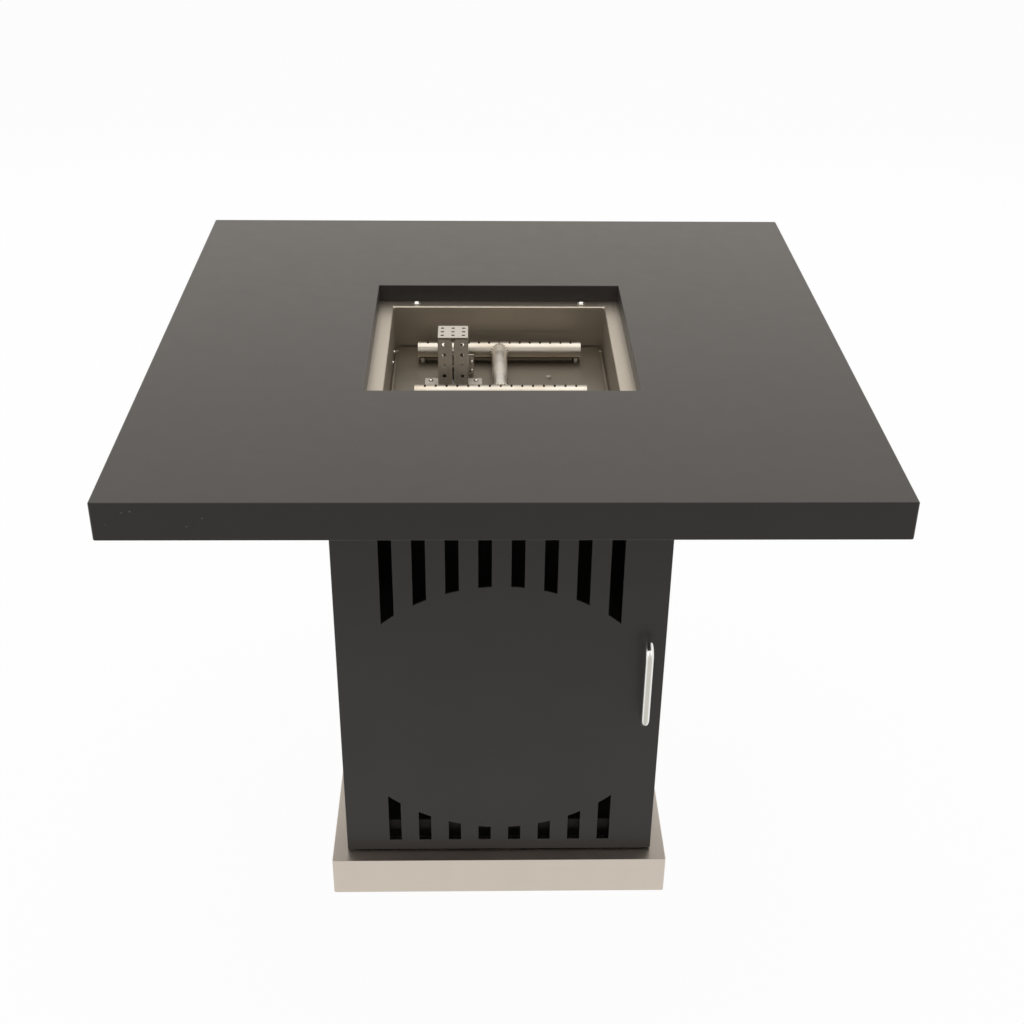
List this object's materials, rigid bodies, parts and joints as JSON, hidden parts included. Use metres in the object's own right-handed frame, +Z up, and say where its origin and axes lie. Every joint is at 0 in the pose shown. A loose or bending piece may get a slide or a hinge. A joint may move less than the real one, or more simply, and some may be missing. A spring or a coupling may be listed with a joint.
{
  "type": "gas fire pit table",
  "caption": "Square gas fire pit table: a steel top with a sunken burner pan and piloted burner, on a slotted cabinet with a hinged door, over a wide plinth.",
  "frame": {"origin": "centre of the plinth on the floor", "axes": "+Z up, -Y out of the door, +X towards the side panel with the knob"},
  "size_m": [0.72, 0.72, 0.628],
  "materials": {
    "charcoal_coat": "fine matte powder coat",
    "pan_stainless": "brushed",
    "base_stainless": "brushed along the long side",
    "burner_stainless": "bright drawn tube",
    "pilot_steel": "satin",
    "galvanised_steel": "galvanised",
    "zinc_fastener": "zinc plated",
    "bright_nut": "bright",
    "chrome_handle": "polished",
    "black_nylon": "matte",
    "black_rubber": "matte",
    "ferrite_magnet": "ground",
    "gas_brass": "turned",
    "valve_aluminium": "die cast",
    "valve_steel": "ground",
    "knob_plastic": "fine satin",
    "button_plastic": "gloss",
    "lead_rubber": "satin"
  },
  "bodies": {
    "cabinet": {"back_panel": "charcoal_coat", "base_corner_brackets": "galvanised_steel", "base_plinth": "base_stainless", "burner_end_caps": "burner_stainless", "burner_feet": "zinc_fastener", "burner_inlet_elbow": "burner_stainless", "burner_pan": "pan_stainless", "burner_plate": "pan_stainless", "cabinet_floor": "charcoal_coat", "cabinet_screws": "zinc_fastener", "control_plate": "charcoal_coat", "control_screws": "zinc_fastener", "crossover_tube": "burner_stainless", "cylinder_ring": "galvanised_steel", "flare_nuts": "gas_brass", "foot_screws": "zinc_fastener", "front_burner_tube": "burner_stainless", "front_header": "charcoal_coat", "gas_injector": "gas_brass", "gas_mixer": "gas_brass", "gas_supply_tube": "valve_aluminium", "gas_valve_body": "valve_aluminium", "hinge_pins": "zinc_fastener", "igniter_body": "knob_plastic", "igniter_electrode": "pilot_steel", "igniter_lead": "lead_rubber", "igniter_nut": "black_nylon", "left_side_panel": "charcoal_coat", "magnet_catch": "ferrite_magnet", "pan_acorn_nuts": "bright_nut", "pan_flange_bolts": "zinc_fastener", "pan_rail_back": "galvanised_steel", "pan_rail_front": "galvanised_steel", "pan_side_screws": "zinc_fastener", "pilot_bracket": "pilot_steel", "pilot_burner": "pilot_steel", "pilot_gas_tube": "valve_aluminium", "pilot_hood": "pilot_steel", "pilot_screws": "zinc_fastener", "plate_rivet": "zinc_fastener", "rear_burner_tube": "burner_stainless", "right_side_panel": "charcoal_coat", "rubber_feet": "black_rubber", "table_top": "charcoal_coat", "thermocouple": "pilot_steel", "thermocouple_lead": "pilot_steel", "top_stiffener_left": "galvanised_steel", "top_stiffener_right": "galvanised_steel", "top_stud_nuts": "zinc_fastener", "top_weld_studs": "zinc_fastener", "valve_inlet_fitting": "gas_brass", "valve_return_spring": "valve_steel"},
    "door": {"door_panel": "charcoal_coat", "door_handle": "chrome_handle", "handle_screws": "zinc_fastener", "hinge_bushes": "black_nylon"},
    "plunger": {"valve_plunger": "gas_brass"},
    "knob": {"control_knob": "knob_plastic", "valve_stem": "valve_steel"},
    "igniter": {"igniter_button": "button_plastic"}
  },
  "joints": [
    {"name": "door_hinge", "type": "hinge", "parent": "cabinet", "child": "door", "pos_m": [-0.171, -0.1695, 0.3], "axis": [0, 0, -1], "range_deg": [0, 110]},
    {"name": "knob_push", "type": "slide", "parent": "cabinet", "child": "plunger", "axis": [-1, 0, 0], "range_m": [0, 0.005], "stiffness_N_per_m": 400, "deforming": ["valve_return_spring"]},
    {"name": "knob_turn", "type": "hinge", "parent": "plunger", "child": "knob", "pos_m": [0.18, -0.027, 0.53], "axis": [1, 0, 0], "range_deg": [0, 180]},
    {"name": "igniter_push", "type": "slide", "parent": "cabinet", "child": "igniter", "axis": [-1, 0, 0], "range_m": [0, 0.004], "stiffness_N_per_m": 800}
  ]
}
